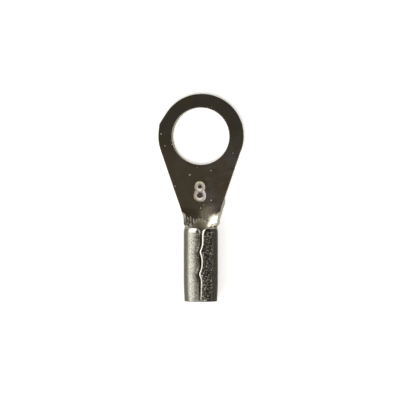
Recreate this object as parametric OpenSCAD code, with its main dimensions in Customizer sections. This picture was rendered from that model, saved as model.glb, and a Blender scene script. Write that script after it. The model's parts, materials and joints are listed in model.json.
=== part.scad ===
// Ring terminal for a crimped wire: one stamping of tin-plated copper sheet.
// The flat tongue carries the stud hole. Behind it the same sheet curls up
// through a short open neck into a round barrel, whose two edges butt on top.
// Millimetres. The origin is the centre of the stud hole on the underside,
// +Z is up, and the barrel runs back along -Y.

/* [Sheet] */
// Thickness of the sheet
sheet_t = 0.8; // [0.6:0.05:1]

/* [Ring] */
// Diameter of the stud hole
stud_d = 10; // [8:0.1:11]
// Diameter of the ring's lower half, sheared by the first stroke
ring_d = 15; // [14.9:0.1:16]
// Diameter of the ring's upper half, sheared by the second stroke
cap_d = 14.84; // [14.6:0.02:14.86]
// How far to the right the second stroke landed
cap_shift_x = 0.14; // [0:0.01:0.15]
// How far up the second stroke landed
cap_shift_y = 0.06; // [0.04:0.01:0.1]
// Height above the hole's centre at which the two strokes meet
cap_joint_y = 2.15; // [1.8:0.05:2.5]

/* [Tongue] */
// Width of the sheet where its sides stop tapering
tongue_end_w = 7.1; // [6.6:0.1:7.6]
// Distance from the hole's centre to the end of the taper
taper_end = 12.9; // [12.6:0.1:13.3]
// Width of the neck, to which the sheet then narrows
neck_w = 6.8; // [6.2:0.1:7]

/* [Size number] */
// Height of the stamped size number
mark_h = 3.45; // [3:0.05:3.8]
// Width of its strokes
mark_stroke = 0.5; // [0.4:0.05:0.6]
// How deep it is stamped
mark_depth = 0.15; // [0.1:0.01:0.2]
// Distance from the hole's centre to the middle of the number
mark_back = 9.8; // [9.4:0.1:10]
// How far the number sits to the left
mark_left = 0.2; // [0:0.1:0.4]

/* [Barrel] */
// Outside diameter of the barrel
barrel_d = 6; // [5.8:0.05:6.2]
// Length of the barrel
barrel_l = 12.95; // [12:0.05:15]
// Distance from the hole's centre to the barrel's front edge
barrel_front = 16; // [15.8:0.05:16.6]

/* [Seam] */
// Width of the fine gap between the butted edges
seam_gap = 0.12; // [0.1:0.01:0.2]
// Radius to which those edges are rolled
seam_roll_r = 0.55; // [0.4:0.05:0.6]
// Radius of the two corners at the front end of the seam
mouth_r = 1; // [0.6:0.1:1.3]
// How far to the right the seam starts
seam_start_x = 0.16; // [0:0.02:0.3]
// How far to the left it ends
seam_end_x = 0.2; // [0:0.02:0.3]
// How far to the left each of its two waves swings
seam_wave = 0.4; // [0.1:0.02:0.44]
// Length of one wave
seam_wave_l = 1.5; // [1:0.1:2]
// Distance from the barrel's front edge to the first wave
seam_wave_at = 4.25; // [4:0.05:5]
// Distance between the two waves
seam_wave_pitch = 3.85; // [3.6:0.05:4.2]

/* [Hidden] */
plating = "#b9b4a8";
round_fn = 128;
past = 0.5; // how far a cutter reaches beyond the metal

// the ring
ring_r = ring_d / 2;
cap_r = cap_d / 2;
cap_shift = [cap_shift_x, cap_shift_y];
corner_out = 0.15; // how far the metal stands out where the two strokes meet
bite = 0.02; // how far a straight edge cuts into the round that it runs into

// the taper
tongue_end_r = tongue_end_w / 2;
taper_touch = touch([tongue_end_r, -taper_end], ring_r - bite / 2, 1);

// the barrel
barrel_r = barrel_d / 2;
bore_r = barrel_r - sheet_t;
barrel_mid_r = barrel_r - sheet_t / 2;

// the neck
neck_start = taper_end - 0.3; // where the sheet starts to curl
neck_open = barrel_front - 1.2; // where it is an open channel
neck_turn = barrel_front - 0.85; // where it starts to close further
neck_end = barrel_front - 0.05; // where it has the barrel's curve
open_share = 0.54; // the channel's curve, as a share of the barrel's
open_steps = 9;
turn_steps = 6;
neck_strips = 10;
weld = 0.3; // how far the neck reaches into the tongue and the barrel's wall
thinning = 0.03; // how far its faces lie inside theirs

// the seam
mouth_steps = 5;
seam_steps = 30;
roll_steps = 4;
roll_end_a = 14; // how far short of the barrel's surface each roll ends

// 0 up to the start of a blend and 1 from its end, level at both
function ease(x, start, end) =
    let (u = min(max((x - start) / (end - start), 0), 1))
    u * u * (3 - 2 * u);

// Where a line from p touches a circle of radius r about the origin, on the
// side that lies left of the line for side = 1 and right of it for side = -1
function touch(p, r, side) =
    let (a = atan2(p[1], p[0]) + side * acos(r / norm(p)))
    r * [cos(a), sin(a)];

// Half the width of the sheet at a distance back from the hole's centre
function half_width(back) =
    tongue_end_r
    + max(0, taper_end - back)
        * (taper_touch[0] - tongue_end_r) / (taper_end + taper_touch[1])
    - (tongue_end_w - neck_w) / 2 * ease(back, taper_end, neck_turn);

// How far the sheet has curled: 0 where it is flat and 1 where it is round
function curl(back) =
    open_share * ease(back, neck_start, neck_open)
    + (1 - open_share) * ease(back, neck_turn, neck_end);

// A point of the neck's sheet. s is measured across along the sheet, and rise
// is the height above the middle of its thickness.
function neck_point(back, s, rise) =
    let (bend = curl(back) / barrel_mid_r)
    bend == 0
        ? [s, -back, sheet_t / 2 + rise]
        : let (a = bend * s * 180 / PI, r = 1 / bend - rise)
          [r * sin(a), -back, sheet_t / 2 + 1 / bend - r * cos(a)];

// One section of the neck: across its underside and back over its top
function neck_section(back) =
    let (
        half_w = half_width(back) - thinning,
        half_t = sheet_t / 2 - thinning
    )
    [
        for (i = [0:2 * neck_strips + 1])
            let (under = i <= neck_strips, j = under ? i : 2 * neck_strips + 1 - i)
            neck_point(back, half_w * (2 * j / neck_strips - 1), under ? -half_t : half_t)
    ];

// Distances from the hole's centre at which the neck has a section
function neck_stations() = concat(
    [neck_start - weld],
    [for (k = [0:open_steps]) neck_start + (neck_open - neck_start) * k / open_steps],
    [for (k = [0:turn_steps]) neck_turn + (neck_end - neck_turn) * k / turn_steps],
    [barrel_front + weld]
);

// One leftward wave of the seam, as a rounded bump of height 1
function wave(back, at) = exp(-pow((back - at) / (seam_wave_l / 2), 2));

// Where the seam lies across the top, at a distance back from its front end
function seam_x(back) =
    seam_start_x - (seam_start_x + seam_end_x) * back / barrel_l
    - seam_wave * wave(back, seam_wave_at)
    - seam_wave * wave(back, seam_wave_at + seam_wave_pitch);

// Half the gap between the edges, which opens at the rounded corners in front
function half_gap(back) =
    let (b = min(max(back, 0), mouth_r))
    seam_gap / 2 + mouth_r - sqrt(pow(mouth_r, 2) - pow(mouth_r - b, 2));

// The right half of the seam's section, from inside the bore up along the
// edge, round its roll and out past the barrel, about the barrel's axis
function roll_line(gap) =
    let (
        x = gap + seam_roll_r,
        z = sqrt(pow(barrel_r - seam_roll_r, 2) - pow(x, 2)),
        out_a = asin(x / (barrel_r - seam_roll_r)),
        roll_a = 90 + out_a - roll_end_a
    )
    concat(
        [[gap, bore_r - past]],
        [
            for (i = [0:roll_steps])
                let (a = 180 - roll_a * i / roll_steps)
                [x + seam_roll_r * cos(a), z + seam_roll_r * sin(a)]
        ],
        [(barrel_r + past) * [tan(out_a), 1]]
    );

// One section of the seam's cutter, turned about the barrel's axis to seam_x
function seam_section(back) =
    let (
        right = roll_line(half_gap(back)),
        n = len(right),
        turn = asin(seam_x(back) / barrel_r)
    )
    [
        for (i = [0:2 * n - 1])
            let (
                p = i < n ? right[i] : [-right[2 * n - 1 - i][0], right[2 * n - 1 - i][1]],
                x = p[0] * cos(turn) + p[1] * sin(turn),
                z = p[1] * cos(turn) - p[0] * sin(turn)
            )
            [x, -barrel_front - back, barrel_r + z]
    ];

// Distances along the seam: close together at the mouth, even behind it
function seam_stations() = concat(
    [-past],
    [for (i = [0:mouth_steps - 1]) mouth_r * (1 - cos(90 * i / mouth_steps))],
    [for (i = [0:seam_steps]) mouth_r + (barrel_l + past - mouth_r) * i / seam_steps]
);

// A closed skin over sections of n points each, where point i of a section
// lies across from point n - 1 - i
module skin(sections) {
    n = len(sections[0]);
    m = len(sections);
    last = (m - 1) * n;
    polyhedron(
        points = [for (s = sections) each s],
        faces = concat(
            [
                for (k = [0:m - 2], i = [0:n - 1])
                    let (a = k * n + i, b = k * n + (i + 1) % n)
                    each [[a, b + n, b], [a, a + n, b + n]]
            ],
            [
                for (i = [0:n / 2 - 2])
                    each [
                        [i, i + 1, n - 1 - i],
                        [i + 1, n - 2 - i, n - 1 - i],
                        [last + i, last + n - 1 - i, last + i + 1],
                        [last + i + 1, last + n - 1 - i, last + n - 2 - i]
                    ]
            ]
        )
    );
}

// Plan of the ring, with the corners that stand out where the strokes meet
module ring_plan() {
    corner_x = sqrt(pow(ring_r, 2) - pow(cap_joint_y, 2)) + corner_out;
    intersection() {
        circle(r = ring_r, $fn = round_fn);
        translate([-ring_d, cap_joint_y - 2 * ring_d])
            square(2 * ring_d);
    }
    translate(cap_shift)
        circle(r = cap_r, $fn = round_fn);
    for (side = [-1, 1]) {
        corner = [side * corner_x, cap_joint_y];
        polygon([
            corner,
            cap_shift + touch(corner - cap_shift, cap_r - bite, side),
            [side * stud_d / 2, cap_joint_y],
            touch(corner, ring_r - bite, -side)
        ]);
    }
}

// Plan of the tapering tongue, as far back as the neck
module tongue_plan() {
    end = [half_width(neck_start), -neck_start];
    polygon([
        [0, 0],
        taper_touch,
        end,
        [-end[0], end[1]],
        [-taper_touch[0], taper_touch[1]]
    ]);
}

// The size number 8, as two round strokes of which the lower is the larger
module size_number() {
    low_r = (mark_h + mark_stroke) * 0.27;
    high_r = (mark_h + mark_stroke) / 2 - low_r;
    for (loop = [[low_r, low_r - mark_h / 2], [high_r, mark_h / 2 - high_r]])
        translate([0, loop[1]])
            difference() {
                circle(r = loop[0], $fn = round_fn);
                circle(r = loop[0] - mark_stroke, $fn = round_fn);
            }
}

module tongue() {
    difference() {
        linear_extrude(sheet_t) {
            ring_plan();
            tongue_plan();
        }
        translate([0, 0, -past])
            cylinder(d = stud_d, h = sheet_t + 2 * past, $fn = round_fn);
        translate([-mark_left, -mark_back, sheet_t - mark_depth])
            linear_extrude(mark_depth + past)
                size_number();
    }
}

module neck() {
    skin([for (back = neck_stations()) neck_section(back)]);
}

module barrel() {
    difference() {
        translate([0, -barrel_front, barrel_r])
            rotate([90, 0, 0])
                difference() {
                    cylinder(r = barrel_r, h = barrel_l, $fn = round_fn);
                    translate([0, 0, -past])
                        cylinder(r = bore_r, h = barrel_l + 2 * past, $fn = round_fn);
                }
        skin([for (back = seam_stations()) seam_section(back)]);
    }
}

module ring_terminal() {
    color(plating)
        union() {
            tongue();
            neck();
            barrel();
        }
}

ring_terminal();
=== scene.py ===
"""Ring terminal: the finished look of one stamped, curled and tin-plated piece.

The sheet is modelled flat, as the press sees it, with its thickness and its
sheared edges. It is then curled into the neck and the barrel, and plated. The
outline and the curl are set point by point, because the flaps' wavy edges have
to meet all along the seam.
"""

import json
import math

import bpy
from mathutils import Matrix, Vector, noise


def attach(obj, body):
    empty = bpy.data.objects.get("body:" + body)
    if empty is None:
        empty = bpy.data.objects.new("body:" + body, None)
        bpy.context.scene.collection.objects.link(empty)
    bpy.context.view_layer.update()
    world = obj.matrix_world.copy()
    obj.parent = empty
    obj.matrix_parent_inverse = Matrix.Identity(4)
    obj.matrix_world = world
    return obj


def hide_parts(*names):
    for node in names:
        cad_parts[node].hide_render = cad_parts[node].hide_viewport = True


bl_info = {
    "name": "Ring terminal",
    "version": (1, 0, 0),
    "blender": (4, 5, 0),
    "location": "View3D > Sidebar > Ring terminal",
    "description": "Models a stamped and tin-plated ring terminal and its studio",
    "category": "Add Mesh",
}

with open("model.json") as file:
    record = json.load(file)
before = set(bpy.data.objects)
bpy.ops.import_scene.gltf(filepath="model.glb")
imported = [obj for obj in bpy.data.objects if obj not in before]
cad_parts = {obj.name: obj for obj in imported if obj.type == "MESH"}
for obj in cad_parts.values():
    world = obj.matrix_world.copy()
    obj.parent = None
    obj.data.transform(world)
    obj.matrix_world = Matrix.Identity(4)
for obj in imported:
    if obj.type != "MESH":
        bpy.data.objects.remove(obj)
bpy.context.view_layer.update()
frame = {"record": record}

MM = 0.001
HAIR = 1e-7  # metres, too small a length to matter
NODE = "ring_terminal"
MOUNTS = {mount["name"]: mount for mount in frame["record"]["mounts"]}
STUD_R = MOUNTS["stud_hole"]["dims"]["r_mm"] * MM
SHEET_T = MOUNTS["stud_hole"]["dims"]["length_mm"] * MM
BORE_R = MOUNTS["wire_barrel"]["dims"]["r_mm"] * MM
BARREL_L = MOUNTS["wire_barrel"]["dims"]["length_mm"] * MM
BARREL_BACK = -MOUNTS["wire_barrel"]["pos_m"][1]
BARREL_R = BORE_R + SHEET_T
BARREL_MID_R = BORE_R + SHEET_T / 2
BARREL_FRONT = BARREL_BACK - BARREL_L


def length(name, description, value_mm):
    """A size, given in millimetres and kept in metres."""
    return bpy.props.FloatProperty(
        name=name,
        description=description,
        default=value_mm * MM,
        unit="LENGTH",
        precision=6,
    )


def tone(name, description, code):
    """A colour, given as an sRGB hex code and kept linear."""
    return bpy.props.FloatVectorProperty(
        name=name,
        description=description,
        default=linear(code)[:3],
        subtype="COLOR",
        size=3,
        min=0,
        max=1,
    )


def share(name, description, value):
    """A plain share from 0 to 1."""
    return bpy.props.FloatProperty(
        name=name, description=description, default=value, subtype="FACTOR", min=0, max=1
    )


def linear(code):
    """The linear RGBA of an sRGB hex code such as '#c0ffee'."""
    parts = [int(code[i : i + 2], 16) / 255 for i in (1, 3, 5)]
    parts = [p / 12.92 if p <= 0.04045 else ((p + 0.055) / 1.055) ** 2.4 for p in parts]
    return (*parts, 1.0)


# ---------------------------------------------------------------- settings


class TerminalShape(bpy.types.PropertyGroup):
    """Sizes of the stamping that the mounts don't give."""

    ring_r: length("Ring radius", "Radius that the first stroke of the shear left", 7.494)
    cap_r: length("Cap radius", "Radius that the second stroke left round the tip", 7.414)
    cap_x: length("Cap shift across", "How far right the second stroke landed", 0.14)
    cap_y: length("Cap shift along", "How far forward the second stroke landed", 0.06)
    joint_y: length("Stroke joint", "Where the strokes meet, in front of the hole's centre", 2.15)
    corner_out: length("Stroke corner", "How far the metal stands out at that joint", 0.13)
    end_half: length("Taper end width", "Half the sheet's width where the taper ends", 3.52)
    taper_end: length("Taper end", "From the hole's centre to the end of the taper", 12.9)
    neck_half: length("Neck waist", "Half the sheet's width where it runs into the barrel", 3.4)
    neck_start: length("Neck start", "From the hole's centre to where the curl starts", 12.6)
    neck_open: length("Neck channel", "From the hole's centre to the open channel", 14.8)
    neck_turn: length("Neck turn", "From the hole's centre to where it closes further", 15.15)
    neck_end: length("Neck end", "From the hole's centre to where it is fully curled", 15.97)
    open_share: share("Channel curve", "The open channel's curve, as a share of the barrel's", 0.54)
    edge_r: length("Edge rounding", "Radius that shearing left on the edges", 0.06)
    roll_r: length("Seam roll", "Radius to which the edges along the seam are rolled", 0.6)
    front_l: length("Front roll", "How far back the barrel's front edge is rolled", 0.8)
    back_l: length("Back taper length", "How far the barrel's back end draws in", 4)
    back_drop: length("Back taper", "How much it draws in on each side", 0.14)
    seam_gap: length("Seam gap", "Gap between the butted edges", 0.05)
    mouth_r: length("Mouth radius", "Radius of the flaps' corners in front of the seam", 1.25)
    seam_start: length("Seam start", "How far right the seam starts", 0.1)
    seam_end: length("Seam end", "How far left the seam ends", 0.28)
    wave_h: length("Seam wave", "How far left each wave of the seam swings", 0.4)
    wave_l: length("Seam wave length", "Length of one wave of the seam", 1.5)
    wave_at: length("First wave", "From the barrel's front edge to the first wave", 4.25)
    wave_pitch: length("Wave pitch", "Distance between the two waves", 3.85)
    nick_h: length("Nick depth", "How deep the two nicks in the left flap's edge are", 0.14)
    nick_l: length("Nick length", "Length of each nick", 1.1)
    nick_front: length("Front nick", "From the barrel's front edge to the first nick", 1.5)
    nick_back: length("Back nick", "From the barrel's front edge to the second nick", 5.45)
    mark_h: length("Number height", "Height of the stamped size number", 3.45)
    mark_stroke: length("Number stroke", "Width of the number's strokes", 0.5)
    mark_depth: length("Number depth", "How deep the number is stamped", 0.13)
    mark_back: length("Number place", "From the hole's centre to the number's middle", 9.8)
    mark_left: length("Number shift", "How far left the number sits", 0.2)
    crease_h: length("Crease height", "Height of the creases at the neck", 0.035)


class TerminalFinish(bpy.types.PropertyGroup):
    """Colours and shine of the plating, and the colours that paint shade and highlights into it."""

    bright: tone("Bright tin", "Burnished plating on the tongue", "#ac9f8c")
    bright_cool: tone("Cool bright tin", "The same plating where it lies thicker", "#c9c3c6")
    bright_olive: tone("Olive bright tin", "The same plating, a little tarnished", "#9b937a")
    bright_worn: tone("Worn bright tin", "The same plating on the ring, rubbed thinner", "#8c8983")
    # the speck colour also paints highlights: along the seam, round the mouth, over the left flap's
    # front and up the neck's right wall
    speck: tone("Specks", "Frosted specks, and the rubbed edge along the seam", "#dedacf")
    dull: tone("Dull tin", "Mottled plating on the barrel", "#a19e94")
    dull_dark: tone("Dark dull tin", "The low spots of the mottling", "#7a776d")
    dull_right: tone("Dull tin, right", "Light grains of the plating right of the seam", "#a8a497")
    # painted shade: a darker colour down the barrel's left side and on the neck's left wall
    painted_shade_left: tone("Thin tin, left", "Thin, darker plating down the barrel's left side", "#605f54")
    # painted shade: a darker colour still down the barrel's right side, away from the lamp, and
    # under the pale grains of its right lobe
    painted_shade_right: tone("Thin tin, right", "The darker plating down its right side", "#33312b")
    sheared: tone("Sheared edge", "Thin plating on the rough cut faces", "#a5a294")
    crazed: tone("Crazed tin", "Plating crazed where the sheet is drawn in at the neck", "#a7a283")
    bright_rough: share("Bright roughness", "Roughness of the burnished plating", 0.14)
    dull_rough: share("Dull roughness", "Roughness of the mottled plating", 0.26)


class StudioSetup(bpy.types.PropertyGroup):
    """The plain studio."""

    view_w: length("View width", "Width of the view at the tongue's face", 70.3)
    view_x: length("View centre across", "Where the frame's centre lies from the hole", -0.145)
    view_y: length("View centre along", "Where the frame's centre lies from the hole", -11.2)
    distance: length("Camera distance", "From the camera to the terminal", 500)
    floor: tone("Floor", "Plain white floor and its coved edge", "#f4f3f0")
    ceiling: tone("Ceiling", "Dim studio ceiling that the flat tongue mirrors", "#565249")


# ---------------------------------------------------------------- the blank


def ease(u):
    """0 at the start of a blend and 1 at its end, level at both."""
    u = min(max(u, 0.0), 1.0)
    return u * u * (3 - 2 * u)


def touch(p, r, side):
    """Where a line from p touches a circle of radius r about the origin."""
    a = math.atan2(p.y, p.x) + side * math.acos(r / p.length)
    return Vector((r * math.cos(a), r * math.sin(a)))


def ray_hit(d, p, q):
    """How far along d a ray from the origin crosses the line from p to q, or 0."""
    parallel = 1e-12
    slack = 1e-5  # Vectors hold about seven digits
    run = q - p
    across = d.x * run.y - d.y * run.x
    if abs(across) < parallel:
        return 0.0
    reach = (p.x * run.y - p.y * run.x) / across
    part = (p.x * d.y - p.y * d.x) / across
    return reach if -slack <= part <= 1 + slack else 0.0


class Blank:
    """Plan of the flat blank. Back is the distance behind the hole's centre."""

    def __init__(self, shape):
        self.shape = shape
        self.taper_touch = touch(Vector((shape.end_half, -shape.taper_end)), shape.ring_r, 1)
        self.cap = Vector((shape.cap_x, shape.cap_y))
        corner_x = math.sqrt(shape.ring_r**2 - shape.joint_y**2) + shape.corner_out
        self.lines = []
        self.turns = []
        end = Vector((self.half_width(shape.neck_start), -shape.neck_start))
        for side in (-1, 1):
            corner = Vector((side * corner_x, shape.joint_y))
            on_cap = self.cap + touch(corner - self.cap, shape.cap_r, side)
            on_ring = touch(corner, shape.ring_r, -side)
            on_taper = Vector((side * self.taper_touch.x, self.taper_touch.y))
            at_neck = Vector((side * end.x, end.y))
            self.lines += [(corner, on_cap), (corner, on_ring), (on_taper, at_neck)]
            self.turns += [on_cap, corner, on_ring, on_taper, at_neck]
        self.lines.append((Vector((-end.x, end.y)), end))

    def half_width(self, back):
        """Half the sheet's width at a distance back from the hole's centre."""
        shape = self.shape
        slope = (self.taper_touch.x - shape.end_half) / (shape.taper_end + self.taper_touch.y)
        waist = ease((back - shape.taper_end) / (shape.neck_turn - shape.taper_end))
        narrowed = (shape.end_half - shape.neck_half) * waist
        return shape.end_half + max(0, shape.taper_end - back) * slope - narrowed

    def edge(self, angle):
        """Point of the tongue's outline in a direction from the hole's centre."""
        shape = self.shape
        d = Vector((math.cos(angle), math.sin(angle)))
        along = self.cap.dot(d)
        reach = along + math.sqrt(along**2 - self.cap.length_squared + shape.cap_r**2)
        if shape.ring_r * d.y <= shape.joint_y:
            reach = max(reach, shape.ring_r)
        reach = max([reach] + [ray_hit(d, p, q) for p, q in self.lines])
        return d * reach

    def angles(self, columns, step):
        """Directions all round the hole, through every turn of the outline."""
        shape = self.shape
        apart = 0.001
        half = self.half_width(shape.neck_start)
        end = [
            math.atan2(-shape.neck_start, half * (2 * i / columns - 1)) % math.tau
            for i in range(columns + 1)
        ]
        start, stop = end[-1], end[0] + math.tau
        turns = [math.atan2(p.y, p.x) % math.tau for p in self.turns]
        turns = sorted(a if a > start else a + math.tau for a in turns)
        marks = [start, *(a for a in turns if start + apart < a < stop - apart), stop]
        fill = []
        for a, b in zip(marks, marks[1:]):
            count = math.ceil((b - a) / step)
            fill += [a + (b - a) * k / count for k in range(count)]
        return end + fill[1:] + [stop]

    def bump(self, back, at, size=None):
        """A rounded bump of height 1, as long as a wave of the seam unless told."""
        return math.exp(-(((back - at) / ((size or self.shape.wave_l) / 2)) ** 2))

    def seam_x(self, back):
        """Where the seam lies across the top, back from the barrel's front edge."""
        shape = self.shape
        waves = self.bump(back, shape.wave_at) + self.bump(back, shape.wave_at + shape.wave_pitch)
        drift = (shape.seam_start + shape.seam_end) * back / BARREL_L
        return shape.seam_start - drift - shape.wave_h * waves

    def flap_edge(self, back, side):
        """Where a flap of the barrel ends, measured across along the sheet."""
        shape = self.shape
        to_mouth = shape.mouth_r - min(max(back, 0), shape.mouth_r)
        gap = shape.seam_gap / 2 + shape.mouth_r - math.sqrt(shape.mouth_r**2 - to_mouth**2)
        if side < 0:
            nicks = (shape.nick_front, shape.nick_back)
            gap += shape.nick_h * sum(self.bump(back, at, shape.nick_l) for at in nicks)
        turn = math.asin(self.seam_x(back) / BARREL_R)
        return side * (math.pi * BARREL_MID_R - gap) - turn * BARREL_MID_R


# ---------------------------------------------------------------- modelling


def deselect():
    """Leaves nothing selected, so that an operator acts on its own piece."""
    if bpy.context.object and bpy.context.object.mode != "OBJECT":
        bpy.ops.object.mode_set(mode="OBJECT")
    bpy.ops.object.select_all(action="DESELECT")


def sheet_grid(columns, rows, place):
    """A grid primitive whose point (i, j) is moved to place(i, j)."""
    deselect()
    bpy.ops.mesh.primitive_grid_add(x_subdivisions=columns, y_subdivisions=rows, size=1)
    grid = bpy.context.object
    for v in grid.data.vertices:
        i = round((v.co.x + 0.5) * columns)
        j = round((v.co.y + 0.5) * rows)
        v.co = (*place(i, j), 0)
    return grid


def join(pieces, name):
    """Joins flat pieces into one, and closes the seams between them."""
    deselect()
    for piece in pieces:
        piece.select_set(True)
    bpy.context.view_layer.objects.active = pieces[0]
    bpy.ops.object.join()
    whole = bpy.context.object
    whole.name = whole.data.name = name
    bpy.ops.object.mode_set(mode="EDIT")
    bpy.ops.mesh.select_all(action="SELECT")
    bpy.ops.mesh.remove_doubles(threshold=0.002 * MM)
    bpy.ops.object.mode_set(mode="OBJECT")
    turn_outwards(whole)
    return whole


def turn_outwards(piece):
    """Makes all faces of the active piece point outwards."""
    bpy.context.view_layer.objects.active = piece
    bpy.ops.object.mode_set(mode="EDIT")
    bpy.ops.mesh.select_all(action="SELECT")
    bpy.ops.mesh.normals_make_consistent(inside=False)
    bpy.ops.object.mode_set(mode="OBJECT")


def split_faces(piece, inside, cuts):
    """Subdivides the faces whose middle lies inside."""
    bpy.ops.object.mode_set(mode="EDIT")
    bpy.ops.mesh.select_mode(type="FACE")
    bpy.ops.mesh.select_all(action="DESELECT")
    bpy.ops.object.mode_set(mode="OBJECT")
    for face in piece.data.polygons:
        face.select = inside(face.center)
    bpy.ops.object.mode_set(mode="EDIT")
    bpy.ops.mesh.subdivide(number_cuts=cuts)
    bpy.ops.object.mode_set(mode="OBJECT")


def apply_modifier(piece, kind, **settings):
    """Adds a modifier with its settings and applies it."""
    modifier = piece.modifiers.new(kind.title(), kind)
    for key, value in settings.items():
        setattr(modifier, key, value)
    bpy.context.view_layer.objects.active = piece
    bpy.ops.object.modifier_apply(modifier=modifier.name)


def tongue_part(blank, columns):
    """Ring and taper, as rows of faces round the stud hole."""
    rows = 14
    angles = blank.angles(columns, math.radians(1))

    def place(i, j):
        outer = blank.edge(angles[i])
        inner = outer.normalized() * STUD_R
        return inner.lerp(outer, j / rows)

    return sheet_grid(len(angles) - 1, rows, place)


def neck_part(blank, columns):
    """The strip between the taper and the barrel."""
    shape = blank.shape
    rows = 48

    def place(i, j):
        back = shape.neck_start + (BARREL_FRONT - shape.neck_start) * j / rows
        return blank.half_width(back) * (2 * i / columns - 1), -back

    return sheet_grid(columns, rows, place)


def barrel_part(blank, columns):
    """The wide end that curls into the barrel, with a flap on either side. Its
    faces are narrower along the rolled edges, and shorter along the mouth."""
    shape = blank.shape
    near = [part * shape.roll_r for part in (0, 0.16, 0.29, 0.43, 0.58, 0.76, 1)]
    wide = 22
    flap = wide + len(near) - 1
    rows = 54
    backs = [part * shape.mouth_r for part in (0, 0.09, 0.17, 0.26, 0.36, 0.5, 0.72)]
    backs += [shape.mouth_r + (BARREL_L - shape.mouth_r) * k / rows for k in range(rows + 1)]

    def place(i, j):
        back = backs[j]
        side = -1 if i < flap else 1
        if flap <= i <= flap + columns:
            across = shape.neck_half * (2 * (i - flap) / columns - 1)
        else:
            k = flap - i if side < 0 else i - flap - columns
            root = side * shape.neck_half
            edge = blank.flap_edge(back, side)
            if k >= wide:
                across = edge - side * near[flap - k]
            else:
                across = root + (edge - side * shape.roll_r - root) * k / wide
        return across, -(BARREL_FRONT + back)

    return sheet_grid(2 * flap + columns, len(backs) - 1, place)


def mark_distance(shape, x, y):
    """Distance from the middle of the size number's strokes, an 8 of two rounds."""
    low = (shape.mark_h + shape.mark_stroke) * 0.27
    high = (shape.mark_h + shape.mark_stroke) / 2 - low
    x += shape.mark_left
    y += shape.mark_back
    loops = ((low, low - shape.mark_h / 2), (high, shape.mark_h / 2 - high))
    return min(abs(math.hypot(x, y - at) - (r - shape.mark_stroke / 2)) for r, at in loops)


def slant(blank, co):
    """How far the shear's slanting break carries a low point of the edge to the
    right: on the hole's left, and on both sides of the tongue beside the neck."""
    back = -co.y
    low = 0.5 - co.z / SHEET_T
    beside_hole = ease((STUD_R + 0.25 * MM - math.hypot(co.x, co.y)) / (0.2 * MM))
    if beside_hole > 0 and co.x < 0:
        return (0.3 * MM * low - 0.12 * MM) * beside_hole * ease(-co.x / STUD_R)
    start = 10.6 * MM
    if not BARREL_FRONT > back > start:
        return 0.0
    beside_edge = ease((abs(co.x) - blank.half_width(back) + 0.45 * MM) / (0.35 * MM))
    along = ease((back - start) / (1.2 * MM))
    if co.x > 0:
        wide = 0.4 * MM
        fade = 1 - ease((back - 12.4 * MM) / (2 * MM))
    else:
        wide = (0.4 + 0.25 * ease((back - 13 * MM) / (1.5 * MM))) * MM
        fade = 1 - ease((back - 15.6 * MM) / (0.4 * MM))
    return wide * low * beside_edge * along * fade


def roll(distance, radius):
    """How far an edge rounded to a radius has dropped, at a distance from it."""
    if distance >= radius:
        return 0.0
    return radius - math.sqrt(radius**2 - (radius - max(distance, 0)) ** 2)


def crease(shape, across, back):
    """Height of the creases: a fan over the neck's floor, and folds 0.6 mm apart
    up its left wall. Both wander a little."""
    wander = noise.noise(Vector((across / MM, back / MM, 3.7)))
    ahead = BARREL_FRONT + 0.5 * MM - back
    away = math.hypot(across, ahead)
    angle = math.atan2(across, ahead)
    fade = ease((away - 0.2 * MM) / (0.8 * MM)) * (1 - ease((away - 1.2 * MM) / (1.3 * MM)))
    spread = 1 - ease((abs(angle) - 0.6) / 0.5)
    fan = fade * spread * math.cos(19 * angle + 2.4 * wander)
    up = across + 3.3 * MM
    on_wall = ease(up / (0.3 * MM)) * (1 - ease((up - 1.5 * MM) / (0.7 * MM)))
    behind = back - BARREL_FRONT
    deep = ease((back - 13.8 * MM) / (1.2 * MM)) * (1 - ease(behind / (0.4 * MM)))
    folds = on_wall * deep * math.cos(math.tau * up / (0.6 * MM) + 1.2 * wander)
    return shape.crease_h * (fan + 1.3 * folds)


def curl(blank, co):
    """Where a point of the thick flat blank lies once it is curled."""
    shape = blank.shape
    across, back, rise = co.x, -co.y, co.z
    half_t = SHEET_T / 2
    behind = back - BARREL_FRONT
    if behind > -HAIR and abs(across) > shape.neck_half:
        # the flaps: rolled along the seam, less on the left, and at both ends
        side = math.copysign(1, across)
        to_seam = abs(blank.flap_edge(behind, side) - across)
        beside_neck = ease((abs(across) - shape.neck_half) / (0.8 * MM))
        roll_r = shape.roll_r * (1 if side > 0 else 0.6)
        drop = max(roll(to_seam, roll_r), 0.6 * roll(behind, shape.front_l) * beside_neck)
        to_end = BARREL_L - behind
        drawn = shape.back_drop * max(0, 1 - to_end / shape.back_l) ** 1.6
        drop = max(drop, drawn + roll(to_end, 0.16 * MM))
        rise = half_t - (half_t - rise) * (SHEET_T - drop) / SHEET_T
    if rise > 0:
        rise += crease(shape, across, back) * (rise / half_t)
        cut = 1 - ease((mark_distance(shape, co.x, co.y) - 0.13 * MM) / (0.16 * MM))
        rise -= shape.mark_depth * cut * (rise / half_t)
    across += slant(blank, co)
    opening = ease((back - shape.neck_start) / (shape.neck_open - shape.neck_start))
    closing = ease((back - shape.neck_turn) / (shape.neck_end - shape.neck_turn))
    bend = (shape.open_share * opening + (1 - shape.open_share) * closing) / BARREL_MID_R
    if bend < 1e-6:
        return Vector((across, -back, half_t + rise))
    r = 1 / bend - rise
    turn = bend * across
    return Vector((r * math.sin(turn), -back, half_t + 1 / bend - r * math.cos(turn)))


def paint(piece, name, value):
    """Keeps a number for each point of the piece, for its material to read."""
    layer = piece.data.attributes.new(name, "FLOAT", "POINT")
    for v in piece.data.vertices:
        layer.data[v.index].value = value(v.co)


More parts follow.
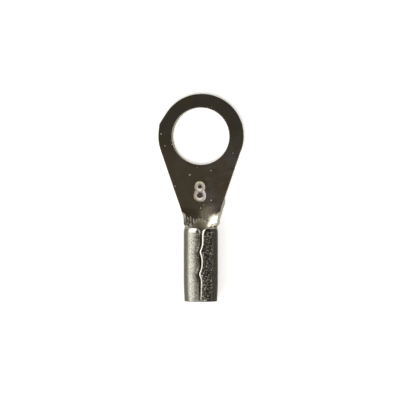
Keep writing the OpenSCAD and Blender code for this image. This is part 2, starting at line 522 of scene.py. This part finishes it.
def stamp_terminal(shape):
    """The whole terminal: cut flat, thickened, sheared, stamped and curled."""
    blank = Blank(shape)
    columns = 96
    parts = [part(blank, columns) for part in (tongue_part, neck_part, barrel_part)]
    terminal = join(parts, "terminal_stamping")
    half_w = 1.6 * MM
    half_h = shape.mark_h / 2 + 0.5 * MM
    split_faces(
        terminal,
        lambda c: abs(c.x + shape.mark_left) < half_w and abs(c.y + shape.mark_back) < half_h,
        cuts=5,
    )
    apply_modifier(terminal, "SOLIDIFY", thickness=SHEET_T, offset=0)
    apply_modifier(
        terminal,
        "BEVEL",
        width=shape.edge_r,
        segments=3,
        limit_method="ANGLE",
        angle_limit=math.radians(50),
        use_clamp_overlap=False,
    )
    skin = SHEET_T / 2 - 0.8 * shape.edge_r
    paint(terminal, "stamped", lambda co: stamped_share(shape, co))
    # the next two mark where highlights and shade are painted into the plating's colour
    paint(terminal, "painted_highlight", lambda co: painted_highlight_share(blank, co))
    paint(terminal, "seam_shade", lambda co: seam_shade_share(blank, co))
    paint(terminal, "sheared", lambda co: abs(co.z) < skin)
    paint(terminal, "drawn", lambda co: drawn_share(shape, co))
    for v in terminal.data.vertices:
        v.co = curl(blank, v.co)
    turn_outwards(terminal)
    bpy.ops.object.shade_smooth()
    apply_modifier(terminal, "WEIGHTED_NORMAL", mode="FACE_AREA", keep_sharp=True)
    return terminal


def stamped_share(shape, co):
    """Where the number's strokes are punched."""
    beside = mark_distance(shape, co.x, co.y) - 0.2 * MM
    return (1 - ease(beside / (0.08 * MM))) * (co.z > 0)


def drawn_share(shape, co):
    """Where the sheet is creased, and its plating crazed: on the neck's floor in
    front of the barrel, and on its right, where the flat sheet begins to curl."""
    away = math.hypot(co.x, BARREL_FRONT + 0.3 * MM + co.y)
    fan = 1 - ease((away - 1.1 * MM) / (1.1 * MM))
    away = math.hypot(co.x - 1.4 * MM, co.y + 13.8 * MM)
    sheen = 0.45 * (1 - ease((away - 0.1 * MM) / (2.1 * MM)))
    return max(fan, sheen) * (co.z > 0)


def flap_distance(blank, co):
    """How far a point of the flat blank lies from the edges along the seam."""
    behind = -co.y - BARREL_FRONT
    if behind < -HAIR or abs(co.x) < blank.shape.neck_half:
        return math.inf
    return abs(blank.flap_edge(behind, math.copysign(1, co.x)) - co.x)


def painted_highlight_share(blank, co):
    """Where a highlight is painted, in the specks' light colour: along the right flap's edge, round
    both corners of the mouth, over the left flap's front and up the neck's right wall."""
    behind = -co.y - BARREL_FRONT
    rim = 1 - ease((flap_distance(blank, co) - 0.24 * MM) / (0.2 * MM))
    rim *= 1 - 0.4 * max(0, behind) / BARREL_L
    if co.x > 0:
        wall = ease((co.x - 1.1 * MM) / (0.7 * MM)) * ease((behind + 2.4 * MM) / (0.8 * MM))
        return max(rim * ease((BARREL_L - behind - 0.2 * MM) / (0.5 * MM)), wall * (behind < 0))
    on_flap = behind > -HAIR and -co.x > blank.shape.neck_half
    front = 1 - ease((behind - 0.6 * MM) / (0.25 * MM)) if on_flap else 0
    return max(rim * (1 - ease((behind - 1 * MM) / (0.5 * MM))), front)


def seam_shade_share(blank, co):
    """Where shade is painted along the left flap's edge beside the seam."""
    behind = -co.y - BARREL_FRONT
    near = 1 - ease((flap_distance(blank, co) - 0.55 * MM) / (0.4 * MM))
    return 0.7 * near * (co.x < 0) * ease((behind - 1 * MM) / (0.6 * MM))


# ---------------------------------------------------------------- plating


def add_node(tree, kind, inputs=None, **settings):
    """Adds a node with its settings, and with values or links on its inputs."""
    node = tree.nodes.new(kind)
    for key, value in settings.items():
        setattr(node, key, value)
    for key, value in (inputs or {}).items():
        if isinstance(value, bpy.types.NodeSocket):
            tree.links.new(value, node.inputs[key])
        else:
            node.inputs[key].default_value = value
    return node


def per_metre(size_mm):
    """The scale of a pattern whose features are this far apart."""
    return 1 / (size_mm * MM)


def rgba(color):
    """A property colour with its alpha."""
    return (*color, 1.0)


def speckle(tree, place):
    """Where frosted specks lie, a fifth of a millimetre wide, in about one cell of
    four."""
    cells = add_node(
        tree, "ShaderNodeTexVoronoi", {"Vector": place, "Scale": per_metre(0.63), "Randomness": 1.0}
    ).outputs
    chosen = add_node(tree, "ShaderNodeSeparateColor", {0: cells["Color"]}).outputs[0]
    chosen = add_node(
        tree, "ShaderNodeMapRange", {"Value": chosen, "From Min": 0.72, "From Max": 1.0}
    ).outputs["Result"]
    spot = add_node(
        tree,
        "ShaderNodeMapRange",
        {"Value": cells["Distance"], "From Min": 0.22, "From Max": 0.08},
        interpolation_type="SMOOTHSTEP",
    ).outputs["Result"]
    return add_node(tree, "ShaderNodeMath", {0: spot, 1: chosen}, operation="MULTIPLY").outputs[0]


def bright_tin(tree, finish, place, masks, speck):
    """Colour of the burnished plating on the ring, the tongue and the neck, with painted highlights
    and painted shade.
    """
    x, y, _ = add_node(tree, "ShaderNodeSeparateXYZ", {0: place}).outputs
    # its thickness drifts over a few millimetres
    drift = add_node(
        tree, "ShaderNodeTexNoise", {"Vector": place, "Scale": per_metre(5), "Detail": 2}
    ).outputs["Fac"]
    drift = add_node(
        tree, "ShaderNodeMapRange", {"Value": drift, "From Min": 0.45, "From Max": 0.62}
    ).outputs["Result"]
    # handling has rubbed it thinner towards the ring
    worn = add_node(
        tree,
        "ShaderNodeMapRange",
        {"Value": y, "From Min": -6 * MM, "From Max": 2 * MM, "To Max": 0.85},
        interpolation_type="SMOOTHSTEP",
    ).outputs["Result"]
    # tarnish has begun in patches
    tarnish = add_node(
        tree,
        "ShaderNodeTexNoise",
        {"Vector": place, "Scale": per_metre(2.4), "Detail": 4, "Roughness": 0.6},
    ).outputs["Fac"]
    tarnish = add_node(
        tree, "ShaderNodeMapRange", {"Value": tarnish, "From Min": 0.48, "From Max": 0.7}
    ).outputs["Result"]
    # specks are bare, bright tin, and the same light colour paints highlights along the seam, round
    # the mouth, over the left flap's front and up the neck's right wall
    speck_and_highlight = add_node(
        tree, "ShaderNodeMath", {0: speck, 1: masks["painted_highlight"]}, operation="MAXIMUM"
    ).outputs[0]
    # painted shade: the neck's left wall is darkened with the left shade colour
    wall = add_node(
        tree, "ShaderNodeMapRange", {"Value": x, "From Min": -1.3 * MM, "From Max": -2.4 * MM}
    ).outputs["Result"]
    beside = add_node(
        tree,
        "ShaderNodeMapRange",
        {"Value": y, "From Min": -13.2 * MM, "From Max": -14.4 * MM, "To Max": 0.45},
    ).outputs["Result"]
    wall = add_node(
        tree, "ShaderNodeMath", {0: wall, 1: beside}, operation="MULTIPLY"
    ).outputs[0]
    color = rgba(finish.bright)
    for mask, over in (
        (drift, finish.bright_cool),
        (worn, finish.bright_worn),
        (tarnish, finish.bright_olive),
        (speck_and_highlight, finish.speck),
        (masks["drawn"], finish.crazed),
        (wall, finish.painted_shade_left),
    ):
        color = add_node(
            tree, "ShaderNodeMix", {"Factor": mask, 6: color, 7: rgba(over)}, data_type="RGBA"
        ).outputs[2]
    return color


def barrel_tin(tree, finish, place, mottle, dull, seam_shade):
    """Colours of the barrel's dull plating, with painted shade right of the seam, and of the
    painted shade down its sides, and where that shade lies."""
    x, y, z = add_node(tree, "ShaderNodeSeparateXYZ", {0: place}).outputs
    # left of the seam the mottle is pale, and right of it there are a few pale grains on painted
    # shade, a dark colour standing in for the unlit right lobe
    pale = add_node(
        tree, "ShaderNodeMapRange", {"Value": mottle, "From Min": 0.35, "From Max": 0.6}
    ).outputs["Result"]
    left_color = add_node(
        tree,
        "ShaderNodeMix",
        {"Factor": pale, 6: rgba(finish.dull_dark), 7: rgba(finish.dull)},
        data_type="RGBA",
    ).outputs[2]
    grains = add_node(
        tree, "ShaderNodeMapRange", {"Value": mottle, "From Min": 0.5, "From Max": 0.68}
    ).outputs["Result"]
    shaded_right_color = add_node(
        tree,
        "ShaderNodeMix",
        {"Factor": grains, 6: rgba(finish.painted_shade_right), 7: rgba(finish.dull_right)},
        data_type="RGBA",
    ).outputs[2]
    right = add_node(
        tree, "ShaderNodeMapRange", {"Value": x, "From Min": -0.2 * MM, "From Max": 0.2 * MM}
    ).outputs["Result"]
    mottle_and_shade_color = add_node(
        tree, "ShaderNodeMix", {"Factor": right, 6: left_color, 7: shaded_right_color}, data_type="RGBA"
    ).outputs[2]

    # painted shade: the barrel's upper sides are painted darker, and lighter again low down
    across = add_node(
        tree, "ShaderNodeMapRange", {"Value": x, "From Min": -MM, "From Max": MM}
    ).outputs["Result"]
    flank_shade_color = add_node(
        tree,
        "ShaderNodeMix",
        {"Factor": across, 6: rgba(finish.painted_shade_left), 7: rgba(finish.painted_shade_right)},
        data_type="RGBA",
    ).outputs[2]
    shade_fade = add_node(
        tree,
        "ShaderNodeMapRange",
        {"Value": z, "From Min": 4.3 * MM, "From Max": 2.2 * MM, "To Max": 0.85},
        interpolation_type="SMOOTHSTEP",
    ).outputs["Result"]
    shade_fade = add_node(
        tree, "ShaderNodeMath", {0: grains, 1: 0.15, 2: shade_fade}, operation="MULTIPLY_ADD"
    ).outputs[0]
    flank_shade_color = add_node(
        tree,
        "ShaderNodeMix",
        {"Factor": shade_fade, 6: flank_shade_color, 7: rgba(finish.dull)},
        data_type="RGBA",
    ).outputs[2]

    # the painted shade lies below a height that is a little greater on the right, on the right
    # flap's front, and along the left flap's edge beside the seam
    height = add_node(
        tree, "ShaderNodeMath", {0: right, 1: -0.25 * MM, 2: z}, operation="MULTIPLY_ADD"
    ).outputs[0]
    side = add_node(
        tree,
        "ShaderNodeMapRange",
        {"Value": height, "From Min": 5.3 * MM, "From Max": 4.7 * MM},
        interpolation_type="SMOOTHSTEP",
    ).outputs["Result"]
    right_front = add_node(
        tree, "ShaderNodeMapRange", {"Value": x, "From Min": 0.8 * MM, "From Max": 1.1 * MM}
    ).outputs["Result"]
    right_front = add_node(
        tree, "ShaderNodeMath", {0: right_front, 1: dull}, operation="SUBTRACT", use_clamp=True
    ).outputs[0]
    for more in (right_front, seam_shade):
        side = add_node(tree, "ShaderNodeMath", {0: side, 1: more}, operation="MAXIMUM").outputs[0]
    on_barrel = add_node(
        tree,
        "ShaderNodeMapRange",
        {
            "Value": y,
            "From Min": -BARREL_FRONT - 0.1 * MM,
            "From Max": -BARREL_FRONT - 0.2 * MM,
        },
    ).outputs["Result"]
    side = add_node(
        tree, "ShaderNodeMath", {0: side, 1: on_barrel}, operation="MULTIPLY"
    ).outputs[0]
    return mottle_and_shade_color, flank_shade_color, side


def tin_plate(finish):
    """Tin plate on copper sheet: rolled and burnished bright on the tongue, where it mirrors the
    room, and left dull by the plating bath on the barrel, where a fine mottle breaks every
    highlight up. Shade and highlights are also painted into its colour on the barrel and the neck."""
    material = bpy.data.materials.new("tin_plate")
    material.use_nodes = True
    tree = material.node_tree
    tree.nodes.clear()
    place = add_node(tree, "ShaderNodeTexCoord").outputs["Object"]
    y = add_node(tree, "ShaderNodeSeparateXYZ", {0: place}).outputs[1]
    masks = {
        name: add_node(tree, "ShaderNodeAttribute", attribute_name=name).outputs["Fac"]
        for name in ("painted_highlight", "seam_shade", "stamped", "sheared", "drawn")
    }

    # the barrel's skin is dull, from just behind its rounded front edge, except where a highlight
    # is painted
    dull = add_node(
        tree,
        "ShaderNodeMapRange",
        {
            "Value": y,
            "From Min": -BARREL_FRONT - 0.7 * MM,
            "From Max": -BARREL_FRONT - 0.95 * MM,
        },
        interpolation_type="SMOOTHSTEP",
    ).outputs["Result"]
    dull = add_node(
        tree,
        "ShaderNodeMath",
        {0: dull, 1: masks["painted_highlight"]},
        operation="SUBTRACT",
        use_clamp=True,
    ).outputs[0]

    # crystals of the dull plating, about a quarter of a millimetre across
    mottle = add_node(
        tree,
        "ShaderNodeTexNoise",
        {"Vector": place, "Scale": per_metre(0.28), "Detail": 2, "Roughness": 0.6},
    ).outputs["Fac"]
    speck = speckle(tree, place)
    color = bright_tin(tree, finish, place, masks, speck)
    mottle_and_shade_color, flank_shade_color, side = barrel_tin(tree, finish, place, mottle, dull, masks["seam_shade"])
    # the mottle, then painted shade on the barrel's sides and at the seam, then the sheared faces
    for mask, over in (
        (dull, mottle_and_shade_color),
        (side, flank_shade_color),
        (masks["sheared"], rgba(finish.sheared)),
    ):
        color = add_node(
            tree, "ShaderNodeMix", {"Factor": mask, 6: color, 7: over}, data_type="RGBA"
        ).outputs[2]

    # roughness: bright sheet, dull barrel, crazed neck, torn edges, and frosted
    # specks and punch marks
    rough = add_node(
        tree,
        "ShaderNodeMapRange",
        {"Value": dull, "To Min": finish.bright_rough, "To Max": finish.dull_rough},
    ).outputs["Result"]
    for mask, more in (
        (masks["stamped"], 0.4),
        (speck, 0.45),
        (masks["drawn"], 0.3),
        (masks["sheared"], 0.25),
    ):
        rough = add_node(
            tree, "ShaderNodeMath", {0: mask, 1: more, 2: rough}, operation="MULTIPLY_ADD"
        ).outputs[0]

    # relief: waves of the rolled sheet, and the grain of the dull plating
    waves = add_node(
        tree, "ShaderNodeTexNoise", {"Vector": place, "Scale": per_metre(3), "Detail": 1}
    ).outputs["Fac"]
    wavy = add_node(
        tree, "ShaderNodeBump", {"Height": waves, "Strength": 1.0, "Distance": 0.012 * MM}
    ).outputs["Normal"]
    grain = add_node(
        tree, "ShaderNodeMath", {0: mottle, 1: dull}, operation="MULTIPLY"
    ).outputs[0]
    relief = add_node(
        tree,
        "ShaderNodeBump",
        {"Height": grain, "Normal": wavy, "Strength": 1.0, "Distance": 0.05 * MM},
    ).outputs["Normal"]

    # the crazed plating has a thin film of oxide, which scatters some light
    film = add_node(
        tree, "ShaderNodeMapRange", {"Value": masks["drawn"], "To Min": 1.0, "To Max": 0.35}
    ).outputs["Result"]
    shader = add_node(
        tree,
        "ShaderNodeBsdfPrincipled",
        {
            "Base Color": color,
            "Metallic": film,
            "Roughness": rough,
            "Specular Tint": (0.55, 0.55, 0.52, 1),
            "Normal": relief,
        },
    )
    add_node(tree, "ShaderNodeOutputMaterial", {"Surface": shader.outputs[0]})
    return material


# ---------------------------------------------------------------- studio


def white_floor(color):
    """Painted board: matt, lit by the lamps, and topped up to plain white for the
    camera and for what the metal mirrors, so that it still keeps the shadow. It is
    topped up more at a distance, where the lamps don't reach."""
    material = bpy.data.materials.new("white_board")
    material.use_nodes = True
    tree = material.node_tree
    tree.nodes.clear()
    paths = add_node(tree, "ShaderNodeLightPath").outputs
    seen = add_node(
        tree,
        "ShaderNodeMath",
        {0: paths["Is Camera Ray"], 1: paths["Is Glossy Ray"]},
        operation="MAXIMUM",
    ).outputs[0]
    seen = add_node(
        tree, "ShaderNodeMath", {0: seen, 1: paths["Is Transmission Ray"]}, operation="MAXIMUM"
    ).outputs[0]
    place = add_node(tree, "ShaderNodeTexCoord").outputs["Object"]
    away = add_node(
        tree, "ShaderNodeVectorMath", {0: place}, operation="LENGTH"
    ).outputs["Value"]
    dimmed = add_node(
        tree,
        "ShaderNodeMapRange",
        {"Value": away, "From Min": 0.1, "From Max": 0.7, "To Min": 0.35, "To Max": 0.95},
    ).outputs["Result"]
    top_up = add_node(
        tree, "ShaderNodeMath", {0: seen, 1: dimmed}, operation="MULTIPLY"
    ).outputs[0]
    board = add_node(tree, "ShaderNodeBsdfDiffuse", {"Color": rgba(color)}).outputs[0]
    glow = add_node(tree, "ShaderNodeEmission", {"Strength": top_up}).outputs[0]
    both = add_node(tree, "ShaderNodeAddShader", {0: board, 1: glow}).outputs[0]
    add_node(tree, "ShaderNodeOutputMaterial", {"Surface": both})
    return material


def lay_floor(setup):
    """A wide round floor whose edge is coved up into a low wall all round."""
    radius, cove_r, wall_h = 1.1, 0.25, 0.2
    steps = 8
    below = 0.02 * MM  # just clear of the terminal's underside
    deselect()
    bpy.ops.mesh.primitive_circle_add(vertices=96, radius=radius, fill_type="NGON")
    floor = bpy.context.object
    floor.name = floor.data.name = "studio_floor"
    bpy.ops.object.mode_set(mode="EDIT")
    bpy.ops.mesh.select_mode(type="EDGE")
    bpy.ops.mesh.select_all(action="DESELECT")
    bpy.ops.object.mode_set(mode="OBJECT")
    for edge in floor.data.edges:
        edge.select = True
    bpy.ops.object.mode_set(mode="EDIT")
    for k in range(steps):
        a, b = (math.pi / 2 * (k + n) / steps for n in (0, 1))
        grown = (radius + cove_r * math.sin(b)) / (radius + cove_r * math.sin(a))
        bpy.ops.mesh.extrude_edges_move()
        bpy.ops.transform.resize(value=(grown, grown, 1))
        bpy.ops.transform.translate(value=(0, 0, cove_r * (math.cos(a) - math.cos(b))))
    bpy.ops.mesh.extrude_edges_move()
    bpy.ops.transform.translate(value=(0, 0, wall_h))
    bpy.ops.object.mode_set(mode="OBJECT")
    for v in floor.data.vertices:
        v.co.z -= below
    bpy.ops.object.shade_smooth_by_angle(angle=math.radians(30))
    floor.data.materials.append(white_floor(setup.floor))


def dim_room(setup):
    """The room's own light: one dim warm tone."""
    world = bpy.data.worlds.new("studio_room")
    world.use_nodes = True
    tree = world.node_tree
    tree.nodes.clear()
    sky = add_node(
        tree, "ShaderNodeBackground", {"Color": rgba(setup.ceiling), "Strength": 1.0}
    ).outputs[0]
    add_node(tree, "ShaderNodeOutputWorld", {"Surface": sky})
    bpy.context.scene.world = world


def soft_box(name, direction, elevation, distance, size, level):
    """A white area lamp of even radiance, aimed at the terminal's middle."""
    deselect()
    middle = Vector((0, -10.8 * MM, 0))
    turn, lift = math.radians(direction), math.radians(elevation)
    way = Vector(
        (math.cos(lift) * math.cos(turn), math.cos(lift) * math.sin(turn), math.sin(lift))
    )
    bpy.ops.object.light_add(type="AREA", location=middle + way * distance)
    lamp = bpy.context.object
    lamp.name = lamp.data.name = name
    lamp.rotation_euler = way.to_track_quat("Z", "Y").to_euler()
    lamp.data.shape = "RECTANGLE"
    lamp.data.size, lamp.data.size_y = size
    lamp.data.energy = level * math.pi * size[0] * size[1]
    lamp.visible_camera = False


def add_lamps():
    """A wide lamp low on the left, one at the foot, and a weak strip on the right."""
    soft_box("lamp_left", 168, 26, 0.36, (0.62, 0.34), 1.9)
    soft_box("lamp_foot", 270, 60, 0.7, (0.9, 0.5), 3.4)
    soft_box("lamp_right", 0, 40, 0.6, (0.6, 0.12), 1.0)


def add_camera(setup):
    """A long lens straight above, with the ring at the top."""
    bpy.ops.object.camera_add(location=(setup.view_x, setup.view_y, SHEET_T + setup.distance))
    camera = bpy.context.object
    camera.name = camera.data.name = "camera"
    camera.data.type = "PERSP"
    camera.data.sensor_width = 36
    camera.data.lens = camera.data.sensor_width * setup.distance / setup.view_w
    camera.data.clip_start = 0.01
    bpy.context.scene.camera = camera
    bpy.context.scene.view_settings.view_transform = "Standard"


# ---------------------------------------------------------------- add-on


class OBJECT_OT_ring_terminal(bpy.types.Operator):
    """Stamp, curl and plate the ring terminal"""

    bl_idname = "object.ring_terminal"
    bl_label = "Ring terminal"
    bl_options = {"REGISTER", "UNDO"}

    def execute(self, context):
        terminal = stamp_terminal(context.scene.terminal_shape)
        terminal.data.materials.append(tin_plate(context.scene.terminal_finish))
        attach(terminal, "root")
        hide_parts(NODE)
        return {"FINISHED"}


class OBJECT_OT_terminal_studio(bpy.types.Operator):
    """Lay the floor, and place the lamps and the camera"""

    bl_idname = "object.terminal_studio"
    bl_label = "Studio"
    bl_options = {"REGISTER", "UNDO"}

    def execute(self, context):
        setup = context.scene.terminal_studio
        lay_floor(setup)
        dim_room(setup)
        add_lamps()
        add_camera(setup)
        return {"FINISHED"}


class VIEW3D_PT_ring_terminal(bpy.types.Panel):
    """Sizes, finish and studio of the ring terminal"""

    bl_label = "Ring terminal"
    bl_space_type = "VIEW_3D"
    bl_region_type = "UI"
    bl_category = "Ring terminal"

    def draw(self, context):
        scene = context.scene
        groups = (
            (OBJECT_OT_ring_terminal, (scene.terminal_shape, scene.terminal_finish)),
            (OBJECT_OT_terminal_studio, (scene.terminal_studio,)),
        )
        for operator, settings in groups:
            self.layout.operator(operator.bl_idname)
            for group in settings:
                for name in group.bl_rna.properties.keys():
                    if name not in ("rna_type", "name"):
                        self.layout.prop(group, name)


CLASSES = (
    TerminalShape,
    TerminalFinish,
    StudioSetup,
    OBJECT_OT_ring_terminal,
    OBJECT_OT_terminal_studio,
    VIEW3D_PT_ring_terminal,
)


def register():
    for cls in CLASSES:
        bpy.utils.register_class(cls)
    bpy.types.Scene.terminal_shape = bpy.props.PointerProperty(type=TerminalShape)
    bpy.types.Scene.terminal_finish = bpy.props.PointerProperty(type=TerminalFinish)
    bpy.types.Scene.terminal_studio = bpy.props.PointerProperty(type=StudioSetup)


def unregister():
    del bpy.types.Scene.terminal_studio
    del bpy.types.Scene.terminal_finish
    del bpy.types.Scene.terminal_shape
    for cls in reversed(CLASSES):
        bpy.utils.unregister_class(cls)


def main():
    register()
    bpy.ops.object.ring_terminal()
    bpy.ops.object.terminal_studio()


if __name__ == "__main__":
    main()
